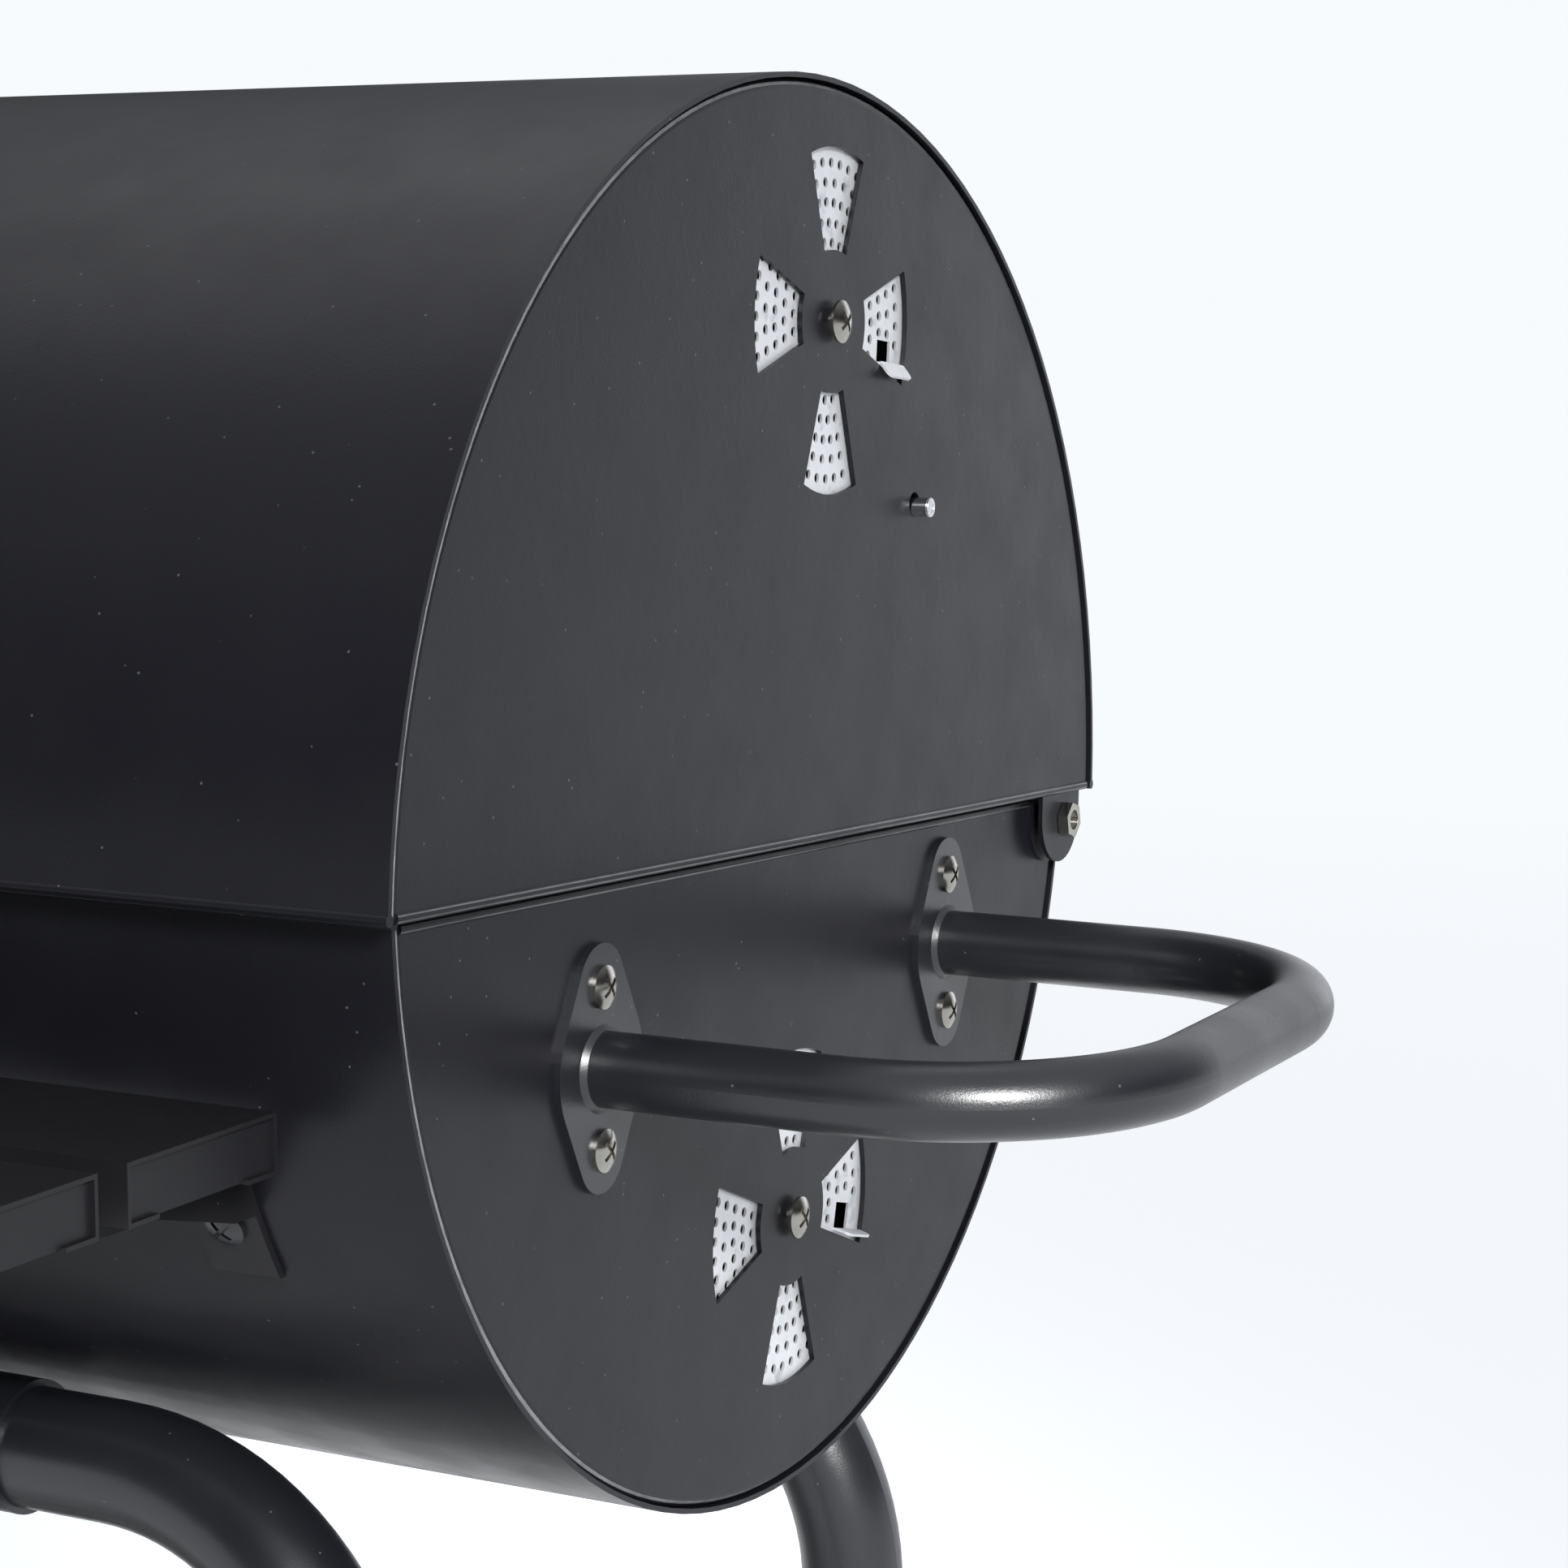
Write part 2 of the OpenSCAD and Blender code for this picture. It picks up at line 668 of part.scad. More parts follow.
module axle_caps() color("black") place() translate([-leg_x, bowl_y, wheel_radius - seam_height])
    for (side = [1, -1]) rotate([-side * 90, 0, 0]) difference() {
        translate([0, 0, axle_half]) intersection() {
            cylinder(r = axle_cap_radius, h = axle_cap_height);
            translate([0, 0, axle_cap_height - 14]) sphere(r = 14);
        }
        drill(axle_radius, axle_half - 1, axle_half + 4);
    }

module wheel_frame(side) translate([-leg_x, bowl_y + side * wheel_track, wheel_radius - seam_height])
    rotate([-90, 0, 0]) children();

module wheel_hub(side) color("black") place() wheel_frame(side) difference() {
    rotate_extrude($fn = 120) {
        bore = axle_radius + fit_gap;
        translate([bore, -hub_half_width]) square([hub_radius - bore, 2 * hub_half_width]);
        translate([hub_radius - 1, -web_half]) square([rim_radius - hub_radius, 2 * web_half]);
        translate([rim_radius - 8, -rim_half_width]) square([8, 2 * rim_half_width]);
    }
    for (turn = [0 : 60 : 300]) rotate([0, 0, turn]) translate([48, 0, 0]) drill(17, -10, 10);
}

module tyre(side) color("black") place() wheel_frame(side) rotate_extrude($fn = 120) polygon(concat(
    [[rim_radius, -rim_half_width], [rim_radius, rim_half_width]],
    arc_points([wheel_radius - 7, rim_half_width - 5], 7, 90, 0),
    arc_points([wheel_radius - 7, 5 - rim_half_width], 7, 0, -90)));

module wheel_hub_front() wheel_hub(-1);

module wheel_hub_rear() wheel_hub(1);

module tyre_front() tyre(-1);

module tyre_rear() tyre(1);

// ---- inside the bowl ----

module lid_rests() color("dimgray") place() for (x = [-150, 150]) difference() {
    union() {
        translate([x - 14, bowl_y - bowl_radius - 14, -rest_gap - 2]) cube([28, 20, 2]);
        intersection() {
            bowl_cylinder(bowl_radius + 2);
            translate([x - 14, -cut, -26]) cube([28, cut, 26 - rest_gap]);
        }
    }
    bowl_cylinder(bowl_radius);
    bowl_rims();
}

// Short shelves on the bowl's wall that carry the grates
module grate_ledges() color("dimgray") place() intersection() {
    bowl_cylinder(bowl_inner);
    for (grate = [[grate_half_depth, grate_top], [charcoal_half_depth, charcoal_top]])
        for (x = [-ledge_spacing, 0, ledge_spacing], side = [1, -1])
            translate([x - ledge_width / 2, bowl_y + side * (grate[0] + 10) - ledge_depth / 2,
                grate[1] - grate_thickness - ledge_thickness])
                cube([ledge_width, ledge_depth, ledge_thickness]);
}

module cooking_grate(side) color("black") place()
    translate([side * (grate_length / 2 + 2), bowl_y, grate_top - grate_thickness])
        grille(grate_length, 2 * grate_half_depth, grate_thickness, 6, 17, 8);

module cooking_grate_right() cooking_grate(1);

module cooking_grate_left() cooking_grate(-1);

module charcoal_grate() color("black") place() translate([0, bowl_y, charcoal_top - grate_thickness])
    grille(charcoal_length, 2 * charcoal_half_depth, grate_thickness, 7, 20, 10);

// ---- lid ----

module lid_shell() color("dimgray") place() {
    length = 2 * (half + shell_overhang);
    difference() {
        translate([-length / 2, 0, 0]) rotate([90, 0, 90]) rotate_extrude(angle = 180, $fn = 180)
            translate([lid_inner, 0]) square([sheet, length]);
        lid_screw_places() drill(pan_shank, lid_inner - 5, lid_radius + 5);
        lid_radial(thermometer_angle) drill(probe_radius, lid_inner - 5, lid_radius + 5);
    }
    for (side = [1, -1]) translate([0, side * (lid_radius - sheet / 2), hem_radius])
        rod_x(-length / 2, length, hem_radius);
}

module lid_cap(side) color("dimgray") place() mirrored(side) {
    rim = lid_inner - fit_gap;
    difference() {
        translate([half, 0, 0]) pan(rim, 360);
        translate([half - cut / 2, -cut / 2, hem_radius - cut]) cube(cut);
        vent_windows(lid_vent, half);
        at_yz(lid_vent) rod_x(half - 9, 18, vent_screw);
        hem_room(half, 0, lid_radius - sheet / 2, hem_radius);
        at_yz([rack_y, rack_z + rod_hole - rod_radius - fit_gap]) rod_x(half - 9, 18, rod_hole);
    }
    translate([half - sheet / 2, 0, hem_radius]) rod_y(2 * (rim - cap_bend), hem_radius);
    difference() {
        across(half - sheet, sheet) ear_drawing(hem_radius);
        at_yz([hinge_y, hinge_z]) rod_x(half - 9, 18, hinge_bolt_radius + fit_gap);
    }
}

module lid_cap_right() lid_cap(1);

module lid_cap_left() lid_cap(-1);

module lid_handle_tube() color("dimgray") place() difference() {
    lid_radial(lid_handle_angle) handle_loop(lid_radius - 1, lid_radius + lid_reach, lid_bend);
    lid_cylinder(lid_radius);
}

module lid_handle_flanges() color("dimgray") place() {
    difference() {
        lid_legs() translate([0, 0, lid_radius - 4]) {
            rotate([0, 0, 90]) linear_extrude(flange_thickness + 4) diamond();
            translate([0, 0, flange_thickness + 3]) weld_bead();
        }
        lid_cylinder(lid_radius);
        lid_legs() drill(handle_tube, lid_radius - 15, lid_radius + 15);
        lid_screw_places() drill(pan_shank, lid_radius - 15, lid_radius + 15);
    }
}

module lid_handle_screws() color("silver") place() lid_screw_places() {
    translate([0, 0, lid_radius + flange_thickness]) pan_screw(pan_radius, pan_height, pan_shank, 10);
    translate([0, 0, lid_inner - 4.2]) nut(5.5, 4, pan_shank);
}

module vent_screws_lid() color("silver") place() vent_screws(lid_vent, half);

// ---- thermometer ----

// Radial frame with z = 0 at the back of the thermometer's case
module thermometer_frame() lid_radial(thermometer_angle)
    translate([0, 0, lid_radius + neck_height]) children();

module thermometer_case() color("silver") place() {
    thermometer_frame() difference() {
        cylinder(r = case_radius, h = case_depth);
        drill(dial_radius, case_back, case_depth - 2);
        drill(dial_radius - 1, case_depth - 3, case_depth + 1);
        drill(spindle_radius, -1, case_back + 1);
    }
    difference() {
        thermometer_frame() drill(neck_radius, -neck_height - 2, 0);
        lid_cylinder(lid_radius);
        thermometer_frame() drill(probe_radius, -neck_height - 3, 1);
    }
}

module thermometer_dial() color("white") place() thermometer_frame() difference() {
    drill(dial_radius, case_back, case_back + 1);
    drill(spindle_radius, 0, 5);
}

module thermometer_needle() color("red") place() thermometer_frame() difference() {
    union() {
        drill(4, needle_height, needle_height + 1.5);
        rotate([0, 0, 215]) translate([-9, -0.8, needle_height + 0.4]) cube([34, 1.6, 0.7]);
    }
    drill(spindle_radius + fit_gap, 0, 10);
}

module thermometer_glass() color("lightblue") place() thermometer_frame()
    drill(dial_radius, case_depth - 4, case_depth - 2);

module thermometer_probe() color("silver") place() thermometer_frame() {
    drill(probe_radius, -probe_depth, 0);
    drill(spindle_radius, -1, needle_height + 2);
}

// ---- warming rack ----

module rack_rod() color("silver") place() at_yz([rack_y, rack_z])
    rod_x(-half - rod_end, 2 * (half + rod_end), rod_radius);

module rack_hangers() color("dimgray") place() for (side = [1, -1]) mirrored(side) difference() {
    at_yz([rack_y, rack_z]) across(rack_half_length, rack_plate) {
        circle(r = 8);
        polygon([[-8, 0], [8, 0], [rack_half_depth, 10 - rack_drop], [rack_half_depth, -rack_drop],
            [-rack_half_depth, -rack_drop], [-rack_half_depth, 10 - rack_drop]]);
    }
    at_yz([rack_y, rack_z]) rod_x(half - 40, 60, rod_radius);
}

module rack_grid() color("silver") place() translate([0, rack_y, rack_z - rack_drop])
    grille(2 * rack_half_length, 2 * rack_half_depth, 3, 3, 16, 5);

// ---- vent discs ----

module vent_disc_lid_right() color("gainsboro") place() vent_disc(lid_vent, half, lid_disc_turn, lid_tab);

module vent_disc_lid_left() color("gainsboro") place() mirrored(-1)
    vent_disc(lid_vent, half, lid_disc_turn, lid_tab);

module vent_disc_bowl_right() color("gainsboro") place()
    vent_disc(bowl_vent, bowl_half, bowl_disc_turn, bowl_tab);

module vent_disc_bowl_left() color("gainsboro") place() mirrored(-1)
    vent_disc(bowl_vent, bowl_half, bowl_disc_turn, bowl_tab);

bowl_shell();
bowl_cap_right();
bowl_cap_left();
hinge_plate_right();
hinge_plate_left();
hinge_bolts();
side_handle_tube();
side_handle_flanges();
side_handle_screws();
vent_screws_bowl();
shelf_slat_rear();
shelf_slat_middle();
shelf_slat_front();
shelf_bracket_right();
shelf_bracket_left();
shelf_screws();
leg_front_right();
leg_front_left();
leg_rear_right();
leg_rear_left();
sleeve_front();
sleeve_rear();
saddle_pads();
saddle_bolts();
leg_brace_right();
leg_brace_left();
bottom_rack();
axle();
axle_caps();
foot_caps();
leg_plugs();
lid_rests();
grate_ledges();
cooking_grate_right();
cooking_grate_left();
charcoal_grate();
lid_shell();
lid_cap_right();
lid_cap_left();
lid_handle_tube();
lid_handle_flanges();
lid_handle_screws();
vent_screws_lid();
thermometer_case();
thermometer_dial();
thermometer_glass();
thermometer_probe();
thermometer_needle();
rack_rod();
rack_grid();
rack_hangers();
vent_disc_lid_right();
vent_disc_lid_left();
vent_disc_bowl_right();
vent_disc_bowl_left();
wheel_hub_front();
tyre_front();
wheel_hub_rear();
tyre_rear();
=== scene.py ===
"""Looks of a barrel charcoal grill: materials, detail pieces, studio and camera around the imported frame."""
import json
import math

import bmesh
import bpy
from mathutils import Matrix, Vector


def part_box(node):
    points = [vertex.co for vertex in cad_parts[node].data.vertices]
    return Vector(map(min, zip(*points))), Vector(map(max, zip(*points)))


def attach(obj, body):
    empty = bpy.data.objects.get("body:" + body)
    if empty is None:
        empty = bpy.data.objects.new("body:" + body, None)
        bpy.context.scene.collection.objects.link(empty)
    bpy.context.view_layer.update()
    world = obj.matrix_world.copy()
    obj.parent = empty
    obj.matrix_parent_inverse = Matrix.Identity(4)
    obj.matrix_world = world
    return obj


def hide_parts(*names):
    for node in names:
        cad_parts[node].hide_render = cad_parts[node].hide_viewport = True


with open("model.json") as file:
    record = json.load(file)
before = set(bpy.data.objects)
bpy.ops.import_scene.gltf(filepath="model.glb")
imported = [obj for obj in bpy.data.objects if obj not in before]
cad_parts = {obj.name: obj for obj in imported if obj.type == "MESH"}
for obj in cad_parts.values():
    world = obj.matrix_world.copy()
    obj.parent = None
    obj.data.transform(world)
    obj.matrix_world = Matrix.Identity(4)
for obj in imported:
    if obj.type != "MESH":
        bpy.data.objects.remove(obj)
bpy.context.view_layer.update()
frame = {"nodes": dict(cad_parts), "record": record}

MM = 0.001
nodes = frame["nodes"]

# The barrel frame: x along the barrel, y to the rear, z up from the seam between bowl and lid
lid_low, lid_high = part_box("lid_shell")
BARREL = Vector(((lid_low.x + lid_high.x) / 2, (lid_low.y + lid_high.y) / 2, lid_low.z))


def at(x, y, z):
    """A point of the barrel frame, given in millimetres, as a point of the scene in metres."""
    return BARREL + Vector((x, y, z)) * MM


# ---- material helpers ----


class Shader:
    """A node tree with a Principled shader, built a node at a time in the object's own coordinates.

    Any value given to a socket is either a constant or the output of another node.
    """

    def __init__(self, name):
        self.material = bpy.data.materials.new(name)
        self.material.use_nodes = True
        self.tree = self.material.node_tree
        self.surface = self.tree.nodes["Principled BSDF"]
        coordinates = self.tree.nodes.new("ShaderNodeTexCoord").outputs
        self.where, self.turned = coordinates["Object"], coordinates["Normal"]

    def node(self, kind, inputs=(), **settings):
        made = self.tree.nodes.new(kind)
        for key, value in settings.items():
            setattr(made, key, value)
        for key, value in dict(inputs).items():
            self.feed(made.inputs[key], value)
        return made

    def feed(self, socket, value):
        if isinstance(value, bpy.types.NodeSocket):
            self.tree.links.new(value, socket)
        else:
            socket.default_value = value

    def set(self, **inputs):
        for key, value in inputs.items():
            self.feed(self.surface.inputs[key.replace("_", " ")], value)

    def stretched(self, scale):
        """The object's coordinates, scaled differently along each axis."""
        return self.node("ShaderNodeMapping", {"Vector": self.where, "Scale": scale}).outputs["Vector"]

    def noise(self, scale, detail=2.0, rough=0.5, vector=None):
        inputs = {"Vector": vector or self.where, "Scale": scale, "Detail": detail, "Roughness": rough}
        return self.node("ShaderNodeTexNoise", inputs).outputs["Fac"]

    def cells(self, scale):
        return self.node("ShaderNodeTexVoronoi", {"Vector": self.where, "Scale": scale}).outputs

    def remap(self, value, low, high, to_low=0.0, to_high=1.0):
        inputs = {"Value": value, "From Min": low, "From Max": high, "To Min": to_low, "To Max": to_high}
        return self.node("ShaderNodeMapRange", inputs).outputs["Result"]

    def math(self, operation, a, b=0.0):
        return self.node("ShaderNodeMath", {0: a, 1: b}, operation=operation).outputs[0]

    def mix(self, factor, a, b):
        made = self.node("ShaderNodeMix", data_type="RGBA")
        for index, value in ((0, factor), (6, a), (7, b)):
            self.feed(made.inputs[index], value)
        return made.outputs[2]

    def bump(self, *layers):
        """Each layer is (height, strength, distance in metres); later layers lie on the earlier ones."""
        normal = None
        for height, strength, distance in layers:
            made = self.node("ShaderNodeBump", {"Height": height, "Strength": strength, "Distance": distance})
            if normal is not None:
                self.feed(made.inputs["Normal"], normal)
            normal = made.outputs["Normal"]
        self.feed(self.surface.inputs["Normal"], normal)


def rgb(red, green, blue):
    """An opaque colour."""
    return (red, green, blue, 1.0)


def shade(colour, factor):
    """A colour made darker or lighter by a factor."""
    return tuple(c * factor for c in colour[:3]) + (1.0,)


def powder_coat(name, colour, gloss, grain, shine=0.25, bend_highlight=0.0):
    """Baked powder paint: fine orange peel, pale grains, sparse dust and a slow drift of tone.

    Where a sheet's upright edge bends away from facing along x, the paint gets a painted highlight: it is
    made paler, and also smoother and shinier, by the amount given for the bend highlight.
    """
    s = Shader(name)
    drift = s.noise(6.0, 3.0)
    tone = s.mix(s.remap(drift, 0.3, 0.7), shade(colour, 0.92), shade(colour, 1.08))
    specks = s.remap(s.cells(700.0)["Distance"], 0.0, 0.16, 0.5, 0.0)
    tone = s.mix(specks, tone, shade(colour, 3.0))
    dust = s.remap(s.cells(130.0)["Distance"], 0.03, 0.06, 0.35, 0.0)
    tone = s.mix(dust, tone, rgb(0.2, 0.2, 0.205))
    rough = s.remap(s.noise(40.0, 4.0), 0.3, 0.7, gloss - 0.04, gloss + 0.05)
    if bend_highlight:
        # Painted highlight on the bends: the mask is full where the surface faces about halfway between along
        # x and across it
        turned = s.node("ShaderNodeSeparateXYZ", {"Vector": s.turned}).outputs
        along = s.math("ABSOLUTE", turned["X"])
        upward = s.math("ABSOLUTE", turned["Z"])
        from_middle = s.math("ABSOLUTE", s.math("SUBTRACT", along, 0.6))
        bend = s.remap(from_middle, 0.22, 0.36, bend_highlight, 0.0)
        bend = s.math("MULTIPLY", bend, s.remap(upward, 0.35, 0.6, 1.0, 0.0))
        edge = s.math("MULTIPLY", bend, s.remap(s.noise(150.0, 3.0), 0.25, 0.6, 0.55, 1.0))
        # The bends are painted paler as a painted highlight, and also made smoother and shinier
        tone = s.mix(edge, tone, rgb(0.3, 0.305, 0.315))
        rough = s.math("SUBTRACT", rough, s.math("MULTIPLY", edge, 0.18))
        s.set(Specular_IOR_Level=s.remap(edge, 0.0, 1.0, shine, 1.0))
    else:
        s.set(Specular_IOR_Level=shine)
    s.set(Base_Color=tone, Roughness=rough)
    s.bump((s.noise(180.0, 2.0), 0.12, 0.0003), (s.noise(1500.0, 2.0, 0.6), grain, 0.00025))
    return s.material


def plated(name, colour, rough, streaks):
    """Bright plated metal with faint drawing lines and dull patches."""
    s = Shader(name)
    patches = s.remap(s.noise(90.0, 3.0), 0.35, 0.7)
    s.set(Metallic=1.0, Base_Color=s.mix(patches, colour, shade(colour, 0.82)))
    s.set(Roughness=s.remap(s.noise(220.0, 3.0), 0.3, 0.7, rough, rough + 0.12))
    lines = s.noise(60.0, 3.0, vector=s.stretched(streaks))
    s.bump((lines, 0.08, 0.0002), (s.noise(900.0, 2.0), 0.06, 0.0001))
    return s.material


def zinc_sheet():
    """Galvanised sheet: pale, with soft spangle and small stains."""
    s = Shader("zinc_sheet")
    spangle = s.cells(260.0)["Color"]
    tone = s.mix(s.remap(spangle, 0.0, 1.0, 0.0, 0.5), rgb(0.68, 0.69, 0.71), rgb(0.58, 0.6, 0.63))
    stains = s.remap(s.noise(140.0, 4.0), 0.58, 0.75)
    s.set(Base_Color=s.mix(stains, tone, rgb(0.4, 0.42, 0.45)), Metallic=0.55)
    s.set(Roughness=s.remap(s.noise(300.0, 2.0), 0.3, 0.7, 0.38, 0.55))
    s.bump((s.noise(500.0, 3.0), 0.12, 0.0002))
    return s.material


def cast_metal(name, colour, rough, grain):
    """Cast or enamelled iron: pitted, with patches of heat tint."""
    s = Shader(name)
    tint = s.remap(s.noise(18.0, 4.0), 0.4, 0.65)
    s.set(Base_Color=s.mix(tint, colour, shade((colour[0] * 1.5, colour[1] * 1.3, colour[2] * 1.1), 1.2)))
    s.set(Roughness=s.remap(s.noise(60.0, 3.0), 0.3, 0.7, rough - 0.08, rough + 0.1))
    s.bump((s.noise(320.0, 4.0, 0.6), grain, 0.0006))
    return s.material


def moulded(name, colour, rough, grain_scale):
    """Moulded plastic or rubber with a fine leather-like grain."""
    s = Shader(name)
    s.set(Base_Color=s.mix(s.remap(s.noise(30.0), 0.3, 0.7), shade(colour, 0.85), shade(colour, 1.25)))
    s.set(Roughness=s.remap(s.noise(80.0), 0.3, 0.7, rough - 0.05, rough + 0.08))
    s.bump((s.cells(grain_scale)["Distance"], 0.2, 0.0002))
    return s.material


def dial_paint():
    """White enamel of the thermometer's dial, very slightly uneven."""
    s = Shader("dial_paint")
    s.set(Base_Color=s.mix(s.remap(s.noise(50.0), 0.3, 0.7), rgb(0.8, 0.8, 0.77), rgb(0.86, 0.86, 0.84)))
    s.set(Roughness=s.remap(s.noise(200.0), 0.3, 0.7, 0.4, 0.5))
    s.bump((s.noise(1200.0), 0.04, 0.0001))
    return s.material


def clear_glass():
    """Clear glass with faint smears."""
    s = Shader("clear_glass")
    s.set(Base_Color=rgb(0.95, 0.98, 1.0), Transmission_Weight=1.0, IOR=1.45)
    s.set(Roughness=s.remap(s.noise(40.0, 4.0), 0.45, 0.75, 0.0, 0.06))
    return s.material


MATERIALS = {
    # The barrel and slat paints carry a painted highlight on their bends
    "barrel_paint": powder_coat("barrel_paint", rgb(0.0068, 0.0069, 0.0095), 0.34, 0.16, bend_highlight=1.0),
    "tube_paint": powder_coat("tube_paint", rgb(0.008, 0.009, 0.0115), 0.31, 0.2, 0.75),
    "slat_paint": powder_coat("slat_paint", rgb(0.01, 0.01, 0.0118), 0.38, 0.16, bend_highlight=0.8),
    "nickel": plated("nickel", rgb(0.42, 0.405, 0.37), 0.14, (1.0, 1.0, 8.0)),
    "zinc": zinc_sheet(),
    "plated_rod": plated("plated_rod", rgb(0.75, 0.76, 0.78), 0.16, (0.05, 1.0, 1.0)),
    "chrome_wire": plated("chrome_wire", rgb(0.7, 0.7, 0.72), 0.18, (1.0, 0.1, 1.0)),
    "cast_grate": cast_metal("cast_grate", rgb(0.018, 0.018, 0.019), 0.42, 0.35),
    "fire_grate": cast_metal("fire_grate", rgb(0.04, 0.037, 0.034), 0.68, 0.5),
    "black_plastic": moulded("black_plastic", rgb(0.016, 0.016, 0.017), 0.48, 1400.0),
    "tyre": moulded("tyre", rgb(0.02, 0.02, 0.021), 0.66, 900.0),
    "pad_rubber": moulded("pad_rubber", rgb(0.015, 0.015, 0.015), 0.7, 1100.0),
    "case_steel": plated("case_steel", rgb(0.62, 0.62, 0.63), 0.26, (0.05, 1.0, 1.0)),
    "dial_white": dial_paint(),
    "glass": clear_glass(),
    "needle_red": powder_coat("needle_red", rgb(0.55, 0.02, 0.015), 0.35, 0.02),
}


def dress(obj, slot):
    """Puts a slot's material on every face."""
    obj.data.materials.clear()
    obj.data.materials.append(MATERIALS[slot])


SHARP_ANGLE = math.radians(32.0)


def soften(obj, width):
    """Rounds the edges between faces that meet at more than the sharp angle, and smooths the rest."""
    for face in obj.data.polygons:
        face.use_smooth = True
    obj.data.set_sharp_from_angle(angle=SHARP_ANGLE)
    if width:
        rounding = obj.modifiers.new("edges", "BEVEL")
        rounding.width = width
        rounding.segments = 2
        rounding.limit_method = "ANGLE"
        rounding.angle_limit = SHARP_ANGLE
        rounding.harden_normals = True


# ---- CAD nodes ----

# Width of the rounded edges of each slot's nodes, in millimetres
USUAL_EDGE = 0.2
EDGE_WIDTH = {
    "barrel_paint": 0.3,
    "tube_paint": 0.3,
    "slat_paint": 0.45,
    "nickel": 0.25,
    "zinc": 0.0,
    "cast_grate": 1.2,
    "fire_grate": 1.2,
    "chrome_wire": 0.9,
    "black_plastic": 0.8,
    "tyre": 0.6,
}

# Nodes that wear another finish than their slot's: the screws under the shelf get the dark tube paint instead
# of their slot's finish
FINISH_INSTEAD = {"shelf_screws": "tube_paint"}

for part in frame["record"]["subparts"]:
    piece = nodes[part["node"]]
    dress(piece, FINISH_INSTEAD.get(part["node"], part["material_slot"]))
    soften(piece, EDGE_WIDTH.get(part["material_slot"], USUAL_EDGE) * MM)


# ---- detail pieces ----


def finish_piece(bm, name, slot, body, width=0.0):
    """Turns a bmesh in scene coordinates into a piece that rides on a body and wears a slot's material."""
    mesh = bpy.data.meshes.new(name)
    bm.to_mesh(mesh)
    bm.free()
    piece = bpy.data.objects.new(name, mesh)
    bpy.context.scene.collection.objects.link(piece)
    dress(piece, slot)
    soften(piece, width)
    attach(piece, body)
    return piece


def add_rod(bm, start, end, radius, sides=14):
    """A round bar between two points."""
    axis = end - start
    turn = Vector((0, 0, 1)).rotation_difference(axis).to_matrix().to_4x4()
    place = Matrix.Translation((start + end) / 2) @ turn
    bmesh.ops.create_cone(bm, cap_ends=True, segments=sides, radius1=radius, radius2=radius,
                          depth=axis.length, matrix=place)


def add_block(bm, place, size):
    """A box of a size (x, y, z) about the origin of a placing matrix."""
    bmesh.ops.create_cube(bm, size=1.0, matrix=place @ Matrix.Diagonal((*size, 1.0)))


def make_rack_wires():
    """Round welded wires of the warming rack: an outer loop, long wires and cross wires below them."""
    low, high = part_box("rack_grid")
    loop, wire = 2.4 * MM, 1.5 * MM
    long_gaps, cross_gaps = 8, 6
    top = high.z - wire
    bm = bmesh.new()
    left, right = low.x + loop, high.x - loop
    front, rear = low.y + loop, high.y - loop
    for y in (front, rear):
        add_rod(bm, Vector((left, y, top)), Vector((right, y, top)), loop)
    for x in (left, right):
        add_rod(bm, Vector((x, front, top)), Vector((x, rear, top)), loop)
    for i in range(1, long_gaps):
        y = front + (rear - front) * i / long_gaps
        add_rod(bm, Vector((left, y, top)), Vector((right, y, top)), wire)
    for i in range(1, cross_gaps):
        x = left + (right - left) * i / cross_gaps
        add_rod(bm, Vector((x, front, top - 2 * wire)), Vector((x, rear, top - 2 * wire)), wire)
    piece = finish_piece(bm, "rack_wires", "chrome_wire", "warming_rack")
    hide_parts("rack_grid")


def make_tread(node, body):
    """Two staggered rows of low slanting blocks round a tyre."""
    count = 54
    slant = math.radians(18)
    block = Vector((6.5, 12.0, 2.4)) * MM
    row_offset, sunk = 7.5 * MM, 0.6 * MM
    low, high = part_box(node)
    centre = (low + high) / 2
    radius = (high.z - low.z) / 2
    bm = bmesh.new()
    for i in range(count):
        for row in (-1, 1):
            turn = 2 * math.pi * (i + row / 4) / count
            spoke = Matrix.Rotation(turn, 4, "Y")
            skew = Matrix.Rotation(row * slant, 4, "Z")
            offset = Matrix.Translation((0.0, row * row_offset, radius - sunk))
            add_block(bm, Matrix.Translation(centre) @ spoke @ offset @ skew, block)
    finish_piece(bm, node + "_tread", "tyre", body, 0.4 * MM)


# How far round the lid from the front the thermometer stands, and how far its face is from the axis
DIAL_ANGLE = math.radians(54)
DIAL_DISTANCE = 231.5 * MM


def dial_place():
    """Frame of the dial: z out of it, x along the barrel, origin at the middle of its face."""
    out = Vector((0.0, -math.cos(DIAL_ANGLE), math.sin(DIAL_ANGLE)))
    along = Vector((1.0, 0.0, 0.0))
    rotation = Matrix((along, out.cross(along), out)).transposed().to_4x4()
    return Matrix.Translation(BARREL + out * DIAL_DISTANCE) @ rotation


def add_text(bm, words, size, place):
    """Flat lettering in Blender's own font, centred on a placing matrix."""
    curve = bpy.data.curves.new("lettering", "FONT")
    curve.body = words
    curve.size = size
    curve.align_x = "CENTER"
    curve.align_y = "CENTER"
    helper = bpy.data.objects.new("lettering", curve)
    bpy.context.scene.collection.objects.link(helper)
    bpy.context.view_layer.update()
    depsgraph = bpy.context.evaluated_depsgraph_get()
    mesh = bpy.data.meshes.new_from_object(helper.evaluated_get(depsgraph))
    mesh.transform(place)
    bm.from_mesh(mesh)
    bpy.data.objects.remove(helper)
    bpy.data.curves.remove(curve)
    bpy.data.meshes.remove(mesh)


